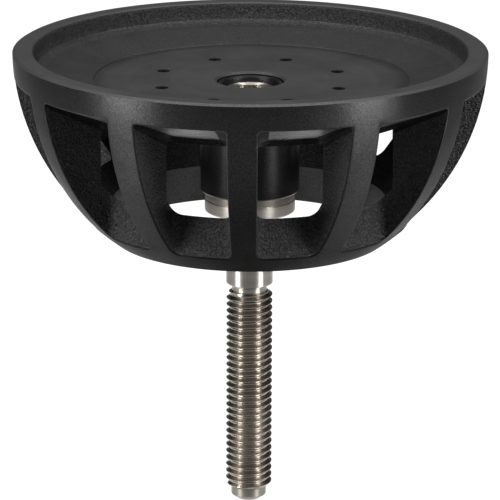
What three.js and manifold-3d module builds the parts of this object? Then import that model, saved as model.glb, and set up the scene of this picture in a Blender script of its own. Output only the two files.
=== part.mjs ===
import * as THREE from 'three';
import { mergeVertices } from 'three/addons/utils/BufferGeometryUtils.js';
import Module from 'manifold-3d';

// Tripod half ball adapter for a 100 mm bowl.
// Millimetres, +Z up, origin at the centre of the ball. The front is at -Y.

// Ball, the outer form that sits in the bowl
const BALL_RADIUS = 50;
const BALL_SEGMENTS = 72;
const BALL_ARC_STEPS = 14;

// Rim, a turned face with a shallow chamfer outside and a small break inside
const RIM_FACE_Z = -0.25;
const RIM_CHAMFER_WIDTH = 0.7;
const RIM_CHAMFER_HEIGHT = 0.4;
const RIM_FACE_WIDTH = 3.3;
const RIM_INNER_BREAK = 0.5;

// Dish, the rough cast tray between the rim and the seat
const DISH_WALL_DEPTH = 2.5;
const DISH_WALL_DRAFT = 0.4;
const DISH_FILLET_WIDTH = 1.2;
const DISH_FILLET_DEPTH = 1.4;
const DISH_FILLET_STEPS = 4;
const DISH_FLOOR_FALL = 2;

// Seat, the machined disc that carries the camera head
const SEAT_STEP = 0.25;
const SEAT_RADIUS = 33.2;
const SEAT_PLATE_THICKNESS = 4.9;

// Holes in the seat
const TAPPED_HOLE_COUNT = 8;
const TAPPED_HOLE_PITCH_RADIUS = 20;
const TAPPED_HOLE_RADIUS = 1.25;
const TAPPED_HOLE_COUNTERSINK = 0.15;
const TAPPED_HOLE_PHASE_DEG = 22.5;
const TAPPED_HOLE_SEGMENTS = 12;
const CENTRE_BORE_RADIUS = 7.1;
const CENTRE_BORE_CHAMFER = 0.45;

// Cavity inside the ball, and the turned ring at its mouth
const CAVITY_WALL = 13.6;
const CAVITY_CONE_WIDTH = 7.4;
const CAVITY_CONE_HEIGHT = 8.32;
const MOUTH_BORE_HEIGHT = 7.78;
const MOUTH_LAND_WIDTH = 0.083;
const MOUTH_BEVEL_HEIGHT = 0.5;
const MOUTH_BEVEL_WIDTH = 0.1;

// Ribs, with the windows between them
const RIB_COUNT = 12;
const RIB_PHASE_DEG = -1.87;
const RIB_WIDTH = 5.2;
const RIB_WIDTH_INSET = 1.7;
const RIB_DRAFT_PER_MM = 0.071;
const RIM_BAND_HEIGHT = 5.49;
const MOUTH_BAND_HEIGHT = 3.76;
const WINDOW_WALL_INSET = 4.45;
const WINDOW_TOP_FILLET = 2;
const WINDOW_SILL_FILLET = 1.7;
const WINDOW_ARC_STEPS = 4;
const WINDOW_FILLET_STEPS = 3;
const WINDOW_RADIAL_STEPS = 2;
const WINDOW_SILL_OVERRUN = 1.36;

// Hub, turned, pressed up into the plate and threaded for the stud
const HUB_RADIUS = 10.5;
const HUB_LENGTH = 19.01;
const HUB_EDGE_BEVEL = 0.35;
const HUB_SPIGOT_RECESS = 0.7;
const HUB_SPIGOT_BREAK = 0.3;
const HUB_SEGMENTS = 36;

// Washer and locking collar under the hub
const WASHER_RADIUS = 9.55;
const WASHER_THICKNESS = 1.6;
const WASHER_EDGE_BREAK = 0.15;
const COLLAR_RADIUS = 9.6;
const COLLAR_HEIGHT = 2.75;
const COLLAR_TOP_CHAMFER = 0.35;
const COLLAR_FOOT_ROUND = 0.4;
const COLLAR_THREAD_RELIEF = 0.4;
const RING_SEGMENTS = 36;

// Stud, with its upper thread in the hub and its lower thread for a tie-down knob
const STUD_TOP_RECESS = 1.74;
const STUD_UPPER_THREAD_RADIUS = 6;
const STUD_UPPER_CHAMFER = 1;
const STUD_UPPER_RUNOUT = 0.3;
const STUD_SHANK_RADIUS = 4.98;
const STUD_SHANK_END_Z = -51.24;
const STUD_RELIEF_RADIUS = 3.75;
const STUD_RELIEF_TAPER = 0.8;
const STUD_RELIEF_WIDTH = 0.8;
const STUD_DOG_TOP_Z = -97.1;
const STUD_DOG_END_Z = -98.9;
const STUD_DOG_TAPER = 1;
const STUD_TIP_RADIUS = 2.2;
const STUD_TIP_CROWN = 0.2;
const STUD_SEGMENTS = 32;
const SOCKET_ACROSS_FLATS = 5;
const SOCKET_DEPTH = 5;
const SOCKET_DRILL_POINT = 1.2;
const SOCKET_SIDES = 6;
const SOCKET_PHASE_DEG = 30;

// Lower thread, metric coarse, right-handed
const THREAD_PITCH = 1.5;
const THREAD_CREST_RADIUS = 4.93;
const THREAD_ROOT_RADIUS = 4.08;
const THREAD_CREST_SHARE = 0.14;
const THREAD_FLANK_SHARE = 0.31;
const THREAD_COLUMNS = 16;
const THREAD_CREST_Z_AT_LEFT = -56.16;
const THREAD_LEFT_TURN_SHARE = 0.5;
const THREAD_END_SLOPE = 0.7;

// Fits
const PRESS_FIT_GAP = 0.02;
const THREAD_FIT_GAP = 0.06;
const FACE_GAP = 0.03;
const CUT_OVERRUN = 2;

const FULL_TURN = 2 * Math.PI;
const UP = new THREE.Vector3(0, 0, 1);

// Heights and radii worked out from the sizes above
const rimFaceOuterRadius = BALL_RADIUS - RIM_CHAMFER_WIDTH;
const rimFaceInnerRadius = rimFaceOuterRadius - RIM_FACE_WIDTH;
const rimWallTopZ = RIM_FACE_Z - RIM_INNER_BREAK;
const rimWallTopRadius = rimFaceInnerRadius - RIM_INNER_BREAK;
const rimChamferFootZ = RIM_FACE_Z - RIM_CHAMFER_HEIGHT;
const dishWallFootZ = rimWallTopZ - DISH_WALL_DEPTH;
const dishWallFootRadius = rimWallTopRadius - DISH_WALL_DRAFT;
const dishFloorTopZ = dishWallFootZ - DISH_FILLET_DEPTH;
const dishFloorOuterRadius = dishWallFootRadius - DISH_FILLET_WIDTH;
const dishFloorEndZ = dishFloorTopZ - DISH_FLOOR_FALL;
const seatZ = dishFloorEndZ - SEAT_STEP;
const plateUndersideZ = seatZ - SEAT_PLATE_THICKNESS;
const cavityRadius = BALL_RADIUS - CAVITY_WALL;
const mouthRadius = cavityRadius - CAVITY_CONE_WIDTH;
const mouthBevelRadius = mouthRadius + MOUTH_BEVEL_WIDTH;
const mouthBottomZ = -ballLegFor(mouthBevelRadius + MOUTH_LAND_WIDTH);
const mouthConeEndZ = mouthBottomZ + MOUTH_BORE_HEIGHT;
const cavityConeTopZ = mouthConeEndZ + CAVITY_CONE_HEIGHT;
const windowTopZ = RIM_FACE_Z - RIM_BAND_HEIGHT;
const windowBottomZ = mouthBottomZ + MOUTH_BAND_HEIGHT;
const windowReachZ = windowBottomZ - WINDOW_SILL_OVERRUN;
const windowWallTopRadius = cavityRadius - WINDOW_WALL_INSET;
const ribWidthRadius = cavityRadius - RIB_WIDTH_INSET;
const hubTopZ = seatZ - HUB_SPIGOT_RECESS;
const hubShoulderZ = plateUndersideZ - FACE_GAP;
const hubBottomZ = hubShoulderZ - HUB_LENGTH;
const hubBoreRadius = STUD_UPPER_THREAD_RADIUS + THREAD_FIT_GAP;
const hubSpigotRadius = CENTRE_BORE_RADIUS - PRESS_FIT_GAP;
const washerTopZ = hubBottomZ - FACE_GAP;
const washerBottomZ = washerTopZ - WASHER_THICKNESS;
const collarTopZ = washerBottomZ - FACE_GAP;
const collarBottomZ = collarTopZ - COLLAR_HEIGHT;
const studTopZ = seatZ - STUD_TOP_RECESS;
const studUpperEndZ = collarBottomZ - STUD_UPPER_RUNOUT;
const studReliefZ = STUD_SHANK_END_Z - STUD_RELIEF_TAPER;
const threadTopZ = studReliefZ - STUD_RELIEF_WIDTH;

const wasm = await Module();
wasm.setup();

function radians(degrees) {
  return THREE.MathUtils.degToRad(degrees);
}

// The ball's radius at a height, or its depth at a radius
function ballLegFor(otherLeg) {
  return Math.sqrt(BALL_RADIUS * BALL_RADIUS - otherLeg * otherLeg);
}

// A solid for cutting and joining, turned right side out if its faces point inward
function toSolid(geometry) {
  const bare = geometry.clone();
  bare.deleteAttribute('normal');
  bare.deleteAttribute('uv');
  const welded = mergeVertices(bare);
  const places = welded.attributes.position.array;
  const corners = Array.from(welded.index.array);
  const kept = [];
  let volume = 0;
  const a = new THREE.Vector3();
  const b = new THREE.Vector3();
  const c = new THREE.Vector3();
  for (let at = 0; at < corners.length; at += 3) {
    const [first, second, third] = corners.slice(at, at + 3);
    if (first === second || second === third || third === first) {
      continue;
    }
    a.fromArray(places, first * 3);
    b.fromArray(places, second * 3);
    c.fromArray(places, third * 3);
    volume += a.dot(b.cross(c));
    kept.push(first, second, third);
  }
  if (volume < 0) {
    kept.reverse();
  }
  return new wasm.Manifold(new wasm.Mesh({
    numProp: 3,
    vertProperties: new Float32Array(places),
    triVerts: new Uint32Array(kept),
  }));
}

function toGeometry(solid) {
  const cut = solid.getMesh();
  const geometry = new THREE.BufferGeometry();
  geometry.setAttribute('position', new THREE.BufferAttribute(new Float32Array(cut.vertProperties), 3));
  geometry.setIndex(new THREE.BufferAttribute(new Uint32Array(cut.triVerts), 1));
  geometry.computeVertexNormals();
  return geometry;
}

// A solid of revolution about Z from [radius, z] pairs
function turned(profile, segments, phase = 0) {
  const points = profile.map(([radius, z]) => new THREE.Vector2(radius, z));
  const geometry = new THREE.LatheGeometry(points, segments, phase, FULL_TURN);
  geometry.rotateX(FULL_TURN / 4);
  return toSolid(geometry);
}

function moved(solid, matrix) {
  return toSolid(toGeometry(solid).applyMatrix4(matrix));
}

function aroundZ(angle) {
  return new THREE.Matrix4().makeRotationAxis(UP, angle);
}

// The six outer sides of a lattice of corners, as one closed block
function latticeBlock(steps, cornerAt) {
  const positions = [];
  const index = [];
  const numberOf = new Map();
  const corner = (cell) => {
    const key = cell.join(' ');
    if (!numberOf.has(key)) {
      numberOf.set(key, numberOf.size);
      positions.push(...cornerAt(...cell));
    }
    return numberOf.get(key);
  };
  for (let axis = 0; axis < 3; axis += 1) {
    const across = (axis + 1) % 3;
    const along = (axis + 2) % 3;
    for (const level of [0, steps[axis]]) {
      for (let p = 0; p < steps[across]; p += 1) {
        for (let q = 0; q < steps[along]; q += 1) {
          const ring = [[p, q], [p + 1, q], [p + 1, q + 1], [p, q + 1]].map(([s, t]) => {
            const cell = [0, 0, 0];
            cell[axis] = level;
            cell[across] = s;
            cell[along] = t;
            return corner(cell);
          });
          if (level === 0) {
            ring.reverse();
          }
          index.push(ring[0], ring[1], ring[2], ring[0], ring[2], ring[3]);
        }
      }
    }
  }
  const geometry = new THREE.BufferGeometry();
  geometry.setAttribute('position', new THREE.Float32BufferAttribute(positions, 3));
  geometry.setIndex(index);
  return toSolid(geometry);
}

// How far a quarter-round of this radius stands in from a wall, at a distance from the corner
function filletInset(radius, distance) {
  if (distance >= radius) {
    return 0;
  }
  const left = radius - distance;
  return radius - Math.sqrt(radius * radius - left * left);
}

// Distances from a corner that divide its quarter-round into equal angles
function filletStations(radius, steps) {
  const stations = [];
  for (let step = 0; step <= steps; step += 1) {
    stations.push(radius * (1 - Math.cos((FULL_TURN / 4) * (step / steps))));
  }
  return stations;
}

function ballArc(startZ, endZ, steps) {
  const start = Math.asin(startZ / BALL_RADIUS);
  const end = Math.asin(endZ / BALL_RADIUS);
  const arc = [];
  for (let step = 0; step <= steps; step += 1) {
    const angle = start + (end - start) * (step / steps);
    arc.push([BALL_RADIUS * Math.cos(angle), BALL_RADIUS * Math.sin(angle)]);
  }
  return arc;
}

// A curve from one point to another that leaves and arrives along the lines to the corner
function cornerCurve(from, corner, to, steps) {
  const curve = [];
  for (let step = 1; step < steps; step += 1) {
    const t = step / steps;
    const u = 1 - t;
    curve.push([0, 1].map((axis) => u * u * from[axis] + 2 * u * t * corner[axis] + t * t * to[axis]));
  }
  return curve;
}

// The casting before its windows are cut
function ballBlank() {
  const wallFoot = [dishWallFootRadius, dishWallFootZ];
  const floorStart = [dishFloorOuterRadius, dishFloorTopZ];
  const filletCorner = [dishWallFootRadius, dishFloorTopZ];
  const profile = [
    [CENTRE_BORE_RADIUS, seatZ - CENTRE_BORE_CHAMFER],
    [CENTRE_BORE_RADIUS + CENTRE_BORE_CHAMFER, seatZ],
    [SEAT_RADIUS, seatZ],
    [SEAT_RADIUS, dishFloorEndZ],
    floorStart,
    ...cornerCurve(wallFoot, filletCorner, floorStart, DISH_FILLET_STEPS).reverse(),
    wallFoot,
    [rimWallTopRadius, rimWallTopZ],
    [rimFaceInnerRadius, RIM_FACE_Z],
    [rimFaceOuterRadius, RIM_FACE_Z],
    ...ballArc(rimChamferFootZ, mouthBottomZ, BALL_ARC_STEPS),
    [mouthBevelRadius, mouthBottomZ],
    [mouthRadius, mouthBottomZ + MOUTH_BEVEL_HEIGHT],
    [mouthRadius, mouthConeEndZ],
    [cavityRadius, cavityConeTopZ],
    [cavityRadius, plateUndersideZ],
    [CENTRE_BORE_RADIUS, plateUndersideZ],
    [CENTRE_BORE_RADIUS, seatZ - CENTRE_BORE_CHAMFER],
  ];
  return turned(profile, BALL_SEGMENTS);
}

function ribHalfAngle(radius) {
  const width = RIB_WIDTH + RIB_DRAFT_PER_MM * (radius - ribWidthRadius);
  return Math.asin(width / 2 / radius);
}

// The room of one window, on the half turn that the first rib starts
function windowCutter() {
  const ceilingOuterRadius = ballLegFor(windowTopZ);
  const ceilingSlope = (windowTopZ - plateUndersideZ) / (ceilingOuterRadius - cavityRadius);
  const ceilingZ = (radius) => windowTopZ - ceilingSlope * (ceilingOuterRadius - radius);
  const sillFootRadius = ballLegFor(windowBottomZ);
  const sillDraft = (sillFootRadius - windowWallTopRadius) / (plateUndersideZ - windowBottomZ);
  const sillRadius = (z) => sillFootRadius - sillDraft * (z - windowBottomZ);
  const outerRadius = BALL_RADIUS + CUT_OVERRUN;
  const sillSteps = filletStations(WINDOW_SILL_FILLET, WINDOW_FILLET_STEPS);
  const roofSteps = filletStations(WINDOW_TOP_FILLET, WINDOW_FILLET_STEPS);
  const steps = [WINDOW_FILLET_STEPS + WINDOW_RADIAL_STEPS, WINDOW_ARC_STEPS, WINDOW_FILLET_STEPS + 1];
  return latticeBlock(steps, (radial, sideways, level) => {
    const atFoot = level > WINDOW_FILLET_STEPS;
    const innerRadius = sillRadius(atFoot ? windowReachZ : plateUndersideZ);
    const filletReach = innerRadius + WINDOW_SILL_FILLET;
    const beyond = Math.max(0, radial - WINDOW_FILLET_STEPS) / WINDOW_RADIAL_STEPS;
    const radius = radial <= WINDOW_FILLET_STEPS
      ? innerRadius + sillSteps[radial]
      : filletReach + (outerRadius - filletReach) * beyond;
    const underRoof = atFoot ? WINDOW_TOP_FILLET : roofSteps[level];
    const inset = Math.max(
      filletInset(WINDOW_SILL_FILLET, radius - innerRadius),
      filletInset(WINDOW_TOP_FILLET, underRoof),
    );
    const halfAngle = FULL_TURN / RIB_COUNT / 2;
    const reach = halfAngle - ribHalfAngle(radius) - inset / radius;
    const angle = halfAngle + reach * (2 * (sideways / WINDOW_ARC_STEPS) - 1);
    const z = atFoot ? windowReachZ : ceilingZ(radius) - underRoof;
    return [radius * Math.sin(angle), -radius * Math.cos(angle), z];
  });
}

function tappedHoleCutter() {
  const mouth = TAPPED_HOLE_RADIUS + TAPPED_HOLE_COUNTERSINK;
  return turned([
    [0, seatZ + CUT_OVERRUN],
    [mouth, seatZ + CUT_OVERRUN],
    [mouth, seatZ],
    [TAPPED_HOLE_RADIUS, seatZ - TAPPED_HOLE_COUNTERSINK],
    [TAPPED_HOLE_RADIUS, plateUndersideZ - CUT_OVERRUN],
    [0, plateUndersideZ - CUT_OVERRUN],
  ], TAPPED_HOLE_SEGMENTS);
}

function buildHalfBall() {
  let ball = ballBlank();
  const room = windowCutter();
  for (let rib = 0; rib < RIB_COUNT; rib += 1) {
    const angle = radians(RIB_PHASE_DEG) + FULL_TURN * (rib / RIB_COUNT);
    ball = ball.subtract(moved(room, aroundZ(angle)));
  }
  const hole = tappedHoleCutter();
  for (let place = 0; place < TAPPED_HOLE_COUNT; place += 1) {
    const angle = radians(TAPPED_HOLE_PHASE_DEG) + FULL_TURN * (place / TAPPED_HOLE_COUNT);
    const shift = new THREE.Matrix4().makeTranslation(0, -TAPPED_HOLE_PITCH_RADIUS, 0);
    ball = ball.subtract(moved(hole, aroundZ(angle).multiply(shift)));
  }
  return ball;
}

function buildHub() {
  return turned([
    [hubBoreRadius, hubTopZ],
    [hubSpigotRadius - HUB_SPIGOT_BREAK, hubTopZ],
    [hubSpigotRadius, hubTopZ - HUB_SPIGOT_BREAK],
    [hubSpigotRadius, hubShoulderZ],
    [HUB_RADIUS, hubShoulderZ],
    [HUB_RADIUS, hubBottomZ + HUB_EDGE_BEVEL],
    [HUB_RADIUS - HUB_EDGE_BEVEL, hubBottomZ],
    [hubBoreRadius, hubBottomZ],
    [hubBoreRadius, hubTopZ],
  ], HUB_SEGMENTS);
}

function buildWasher() {
  return turned([
    [hubBoreRadius, washerTopZ],
    [WASHER_RADIUS - WASHER_EDGE_BREAK, washerTopZ],
    [WASHER_RADIUS, washerTopZ - WASHER_EDGE_BREAK],
    [WASHER_RADIUS, washerBottomZ + WASHER_EDGE_BREAK],
    [WASHER_RADIUS - WASHER_EDGE_BREAK, washerBottomZ],
    [hubBoreRadius, washerBottomZ],
    [hubBoreRadius, washerTopZ],
  ], RING_SEGMENTS);
}

function buildCollar() {
  const footEdge = [COLLAR_RADIUS, collarBottomZ + COLLAR_FOOT_ROUND];
  const footFace = [COLLAR_RADIUS - COLLAR_FOOT_ROUND, collarBottomZ];
  return turned([
    [hubBoreRadius, collarTopZ],
    [COLLAR_RADIUS - COLLAR_TOP_CHAMFER, collarTopZ],
    [COLLAR_RADIUS, collarTopZ - COLLAR_TOP_CHAMFER],
    footEdge,
    ...cornerCurve(footEdge, [COLLAR_RADIUS, collarBottomZ], footFace, 3),
    footFace,
    [hubBoreRadius + COLLAR_THREAD_RELIEF, collarBottomZ],
    [hubBoreRadius, collarBottomZ + COLLAR_THREAD_RELIEF],
    [hubBoreRadius, collarTopZ],
  ], RING_SEGMENTS);
}

// The stud without its lower thread: that stretch is a plain core
function studSpine() {
  return turned([
    [0, studTopZ],
    [STUD_UPPER_THREAD_RADIUS - STUD_UPPER_CHAMFER, studTopZ],
    [STUD_UPPER_THREAD_RADIUS, studTopZ - STUD_UPPER_CHAMFER],
    [STUD_UPPER_THREAD_RADIUS, studUpperEndZ],
    [STUD_SHANK_RADIUS, studUpperEndZ - (STUD_UPPER_THREAD_RADIUS - STUD_SHANK_RADIUS)],
    [STUD_SHANK_RADIUS, STUD_SHANK_END_Z],
    [STUD_RELIEF_RADIUS, studReliefZ],
    [STUD_RELIEF_RADIUS, STUD_DOG_END_Z],
    [STUD_TIP_RADIUS, STUD_DOG_END_Z - STUD_DOG_TAPER],
    [0, STUD_DOG_END_Z - STUD_DOG_TAPER - STUD_TIP_CROWN],
  ], STUD_SEGMENTS);
}

// One turn of the thread as rows: how far up the pitch each row lies, and its radius
function threadRows() {
  const crestEdge = THREAD_CREST_SHARE / 2;
  const rootEdge = crestEdge + THREAD_FLANK_SHARE;
  return [
    [-rootEdge, THREAD_ROOT_RADIUS],
    [-crestEdge, THREAD_CREST_RADIUS],
    [crestEdge, THREAD_CREST_RADIUS],
    [rootEdge, THREAD_ROOT_RADIUS],
  ];
}

// A screw longer than the thread. Its rows climb one pitch in each turn to the right hand
function screwBar(bottomZ, topZ) {
  const rows = threadRows();
  const turns = Math.ceil((topZ - bottomZ) / THREAD_PITCH) + 3;
  const leftCrestBelow = Math.floor((THREAD_CREST_Z_AT_LEFT - bottomZ) / THREAD_PITCH) + 2;
  const startZ = THREAD_CREST_Z_AT_LEFT - THREAD_PITCH * (leftCrestBelow + THREAD_LEFT_TURN_SHARE);
  const positions = [];
  const index = [];
  const rowCount = rows.length * turns;
  for (let row = 0; row < rowCount; row += 1) {
    const [share, radius] = rows[row % rows.length];
    const level = Math.floor(row / rows.length) + share;
    for (let column = 0; column < THREAD_COLUMNS; column += 1) {
      const turn = column / THREAD_COLUMNS;
      const angle = FULL_TURN * turn;
      const z = startZ + THREAD_PITCH * (level + turn);
      positions.push(radius * Math.cos(angle), radius * Math.sin(angle), z);
    }
  }
  // A column past the last is the first column, one whole turn of rows higher
  const vertex = (row, column) => (column < THREAD_COLUMNS
    ? row * THREAD_COLUMNS + column
    : (row + rows.length) * THREAD_COLUMNS);
  const lastRow = rowCount - rows.length - 1;
  for (let row = 0; row < lastRow; row += 1) {
    for (let column = 0; column < THREAD_COLUMNS; column += 1) {
      const a = vertex(row, column);
      const b = vertex(row, column + 1);
      const c = vertex(row + 1, column + 1);
      const d = vertex(row + 1, column);
      index.push(a, b, c, a, c, d);
    }
  }
  const closeEnd = (row, flip) => {
    const loop = [];
    for (let column = 0; column <= THREAD_COLUMNS; column += 1) {
      loop.push(vertex(row, column));
    }
    for (let back = rows.length - 1; back > 0; back -= 1) {
      loop.push(vertex(row + back, 0));
    }
    const hub = positions.length / 3;
    positions.push(0, 0, positions[loop[0] * 3 + 2]);
    loop.forEach((from, at) => {
      const to = loop[(at + 1) % loop.length];
      index.push(...(flip ? [hub, from, to] : [hub, to, from]));
    });
  };
  closeEnd(0, false);
  closeEnd(lastRow, true);
  const geometry = new THREE.BufferGeometry();
  geometry.setAttribute('position', new THREE.Float32BufferAttribute(positions, 3));
  geometry.setIndex(index);
  return toSolid(geometry);
}

function buildStud() {
  const bottomZ = STUD_DOG_TOP_Z;
  const clearRadius = THREAD_CREST_RADIUS + THREAD_PITCH;
  const chamferHeight = THREAD_END_SLOPE * (clearRadius - STUD_RELIEF_RADIUS);
  const envelope = turned([
    [0, threadTopZ],
    [STUD_RELIEF_RADIUS, threadTopZ],
    [clearRadius, threadTopZ - chamferHeight],
    [clearRadius, bottomZ + chamferHeight],
    [STUD_RELIEF_RADIUS, bottomZ],
    [0, bottomZ],
  ], STUD_SEGMENTS);
  const thread = screwBar(bottomZ, threadTopZ).intersect(envelope);
  const socketRadius = SOCKET_ACROSS_FLATS / 2 / Math.cos(radians(SOCKET_PHASE_DEG));
  const socketFloorZ = studTopZ - SOCKET_DEPTH;
  const socket = turned([
    [0, studTopZ + CUT_OVERRUN],
    [socketRadius, studTopZ + CUT_OVERRUN],
    [socketRadius, socketFloorZ],
    [0, socketFloorZ - SOCKET_DRILL_POINT],
  ], SOCKET_SIDES, radians(SOCKET_PHASE_DEG));
  return studSpine().add(thread).subtract(socket);
}

const finishes = {
  castAluminium: { color: '#4a4b4d', roughness: 0.62, metalness: 0.75 },
  blackHub: { color: '#232426', roughness: 0.4, metalness: 0.7 },
  groundSteel: { color: '#8f9091', roughness: 0.3, metalness: 0.95 },
  turnedSteel: { color: '#a3a4a5', roughness: 0.25, metalness: 0.95 },
};

const pieces = [
  ['half_ball', buildHalfBall, finishes.castAluminium],
  ['hub_bush', buildHub, finishes.blackHub],
  ['thrust_washer', buildWasher, finishes.groundSteel],
  ['locking_collar', buildCollar, finishes.turnedSteel],
  ['tie_down_stud', buildStud, finishes.turnedSteel],
];

const group = new THREE.Group();
group.name = 'tripod_half_ball_adapter';
for (const [name, build, finish] of pieces) {
  const mesh = new THREE.Mesh(toGeometry(build()), new THREE.MeshStandardMaterial(finish));
  mesh.name = name;
  group.add(mesh);
}

export default group;
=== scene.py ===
"""Tripod half ball adapter: detailed meshes, finishes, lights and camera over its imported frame."""
import logging
import math
from dataclasses import dataclass
from enum import Enum
from typing import Callable, Optional, Sequence

import bmesh
import bpy
from mathutils import Matrix, Vector


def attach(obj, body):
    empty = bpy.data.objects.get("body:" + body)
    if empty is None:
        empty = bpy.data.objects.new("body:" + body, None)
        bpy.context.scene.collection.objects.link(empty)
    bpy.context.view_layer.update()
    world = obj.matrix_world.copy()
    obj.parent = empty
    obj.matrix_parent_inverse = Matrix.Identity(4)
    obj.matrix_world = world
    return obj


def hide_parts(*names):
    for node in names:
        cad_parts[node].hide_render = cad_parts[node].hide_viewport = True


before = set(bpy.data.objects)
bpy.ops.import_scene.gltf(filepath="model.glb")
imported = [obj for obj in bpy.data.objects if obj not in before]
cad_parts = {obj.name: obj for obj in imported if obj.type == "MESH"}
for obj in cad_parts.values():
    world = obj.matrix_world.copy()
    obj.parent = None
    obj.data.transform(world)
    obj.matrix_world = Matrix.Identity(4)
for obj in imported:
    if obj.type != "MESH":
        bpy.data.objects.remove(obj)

LOG = logging.getLogger("half_ball_adapter")
MM = 0.001
TURN = 2 * math.pi
# How near two numbers are when they count as one, and to how many digits places are compared
NEAR, DIGITS = 1e-6, 9
# Sockets of a map range, in the order in which its ends are given. The last two may stay at zero and one
SPAN = ("From Min", "From Max", "To Min", "To Max")
# Numbered sockets of a colour mix: its factor, first and second colour, and the mixed colour that comes out
FACTOR, FIRST, SECOND, MIXED = 0, 6, 7, 2

Tree = bpy.types.NodeTree
Socket = bpy.types.NodeSocket
Pair = tuple[float, float]
Polar = tuple[float, float, float]
Profile = list[Pair]


class Body(Enum):
    """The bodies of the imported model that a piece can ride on."""

    BALL = "ball"
    WASHER = "washer"
    STUD = "stud"


class Rings(Enum):
    """Which way a lathe's tool marks run on a turned surface."""

    ROUND_A_SIDE = "side"
    ON_A_FACE = "face"


def linear(hex_colour: str) -> tuple[float, float, float, float]:
    """Turn an sRGB hex colour into the linear colour that a socket takes.

    Args:
        hex_colour: Six hex digits, with or without a leading hash.

    Returns:
        Linear red, green, blue and an alpha of one.
    """
    digits = hex_colour.lstrip("#")
    channels = []
    # The standard's own curve: straight near black, a power above
    for at in (0, 2, 4):
        value = int(digits[at:at + 2], 16) / 255
        channels.append(value / 12.92 if value <= 0.04045 else ((value + 0.055) / 1.055) ** 2.4)
    return channels[0], channels[1], channels[2], 1.0


def add_node(tree: Tree, kind: str, settings: Optional[dict] = None,
             links: Optional[dict] = None) -> bpy.types.Node:
    """Add one node with its settings and its incoming links.

    Args:
        tree: The node tree that takes the node.
        kind: The kind of shader node, such as Math.
        settings: Property names, input names or numbers, or SPAN for a map range's ends, each with its value.
        links: Input names or numbers, each with the output socket that feeds it.

    Returns:
        The new node.
    """
    node = tree.nodes.new("ShaderNode" + kind)
    for key, value in (settings or {}).items():
        if key is SPAN:
            for name, end in zip(SPAN, value):
                node.inputs[name].default_value = end
        elif isinstance(key, str) and hasattr(node, key):
            setattr(node, key, value)
        else:
            node.inputs[key].default_value = value
    for key, socket in (links or {}).items():
        tree.links.new(socket, node.inputs[key])
    return node


def per_metre(size_mm: float) -> float:
    """Texture scale that gives features of this size, on coordinates in metres."""
    return 1 / (size_mm * MM)


def blend_to(start: float, end: float, share: float) -> float:
    """The value this share of the way from start to end."""
    return start + (end - start) * share


def cartesian(place: Polar) -> Vector:
    """Turn radius, azimuth from the front and height into a point."""
    radius, azimuth, z = place
    return Vector((radius * math.sin(azimuth), -radius * math.cos(azimuth), z))


@dataclass(frozen=True)
class Finish:
    """A finish with one base colour, made into a Blender material by its subclass."""

    name: str
    colour: str
    roughness: float
    metallic: float

    def start(self) -> tuple[bpy.types.Material, Tree, bpy.types.Node, Socket]:
        """Make the material with its surface shader, and nothing on it yet.

        Returns:
            The material, its node tree, its surface shader and its coordinates in metres.
        """
        material = bpy.data.materials.new(self.name)
        material.use_nodes = True
        tree = material.node_tree
        tree.nodes.clear()
        shader = add_node(tree, "BsdfPrincipled", {
            "Base Color": linear(self.colour), "Metallic": self.metallic, "Roughness": self.roughness})
        add_node(tree, "OutputMaterial", links={"Surface": shader.outputs["BSDF"]})
        place = add_node(tree, "TexCoord")
        return material, tree, shader, place.outputs["Object"]

    def build(self) -> bpy.types.Material:
        """Build the material. Each kind of finish does this in its own way."""
        raise NotImplementedError


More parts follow.
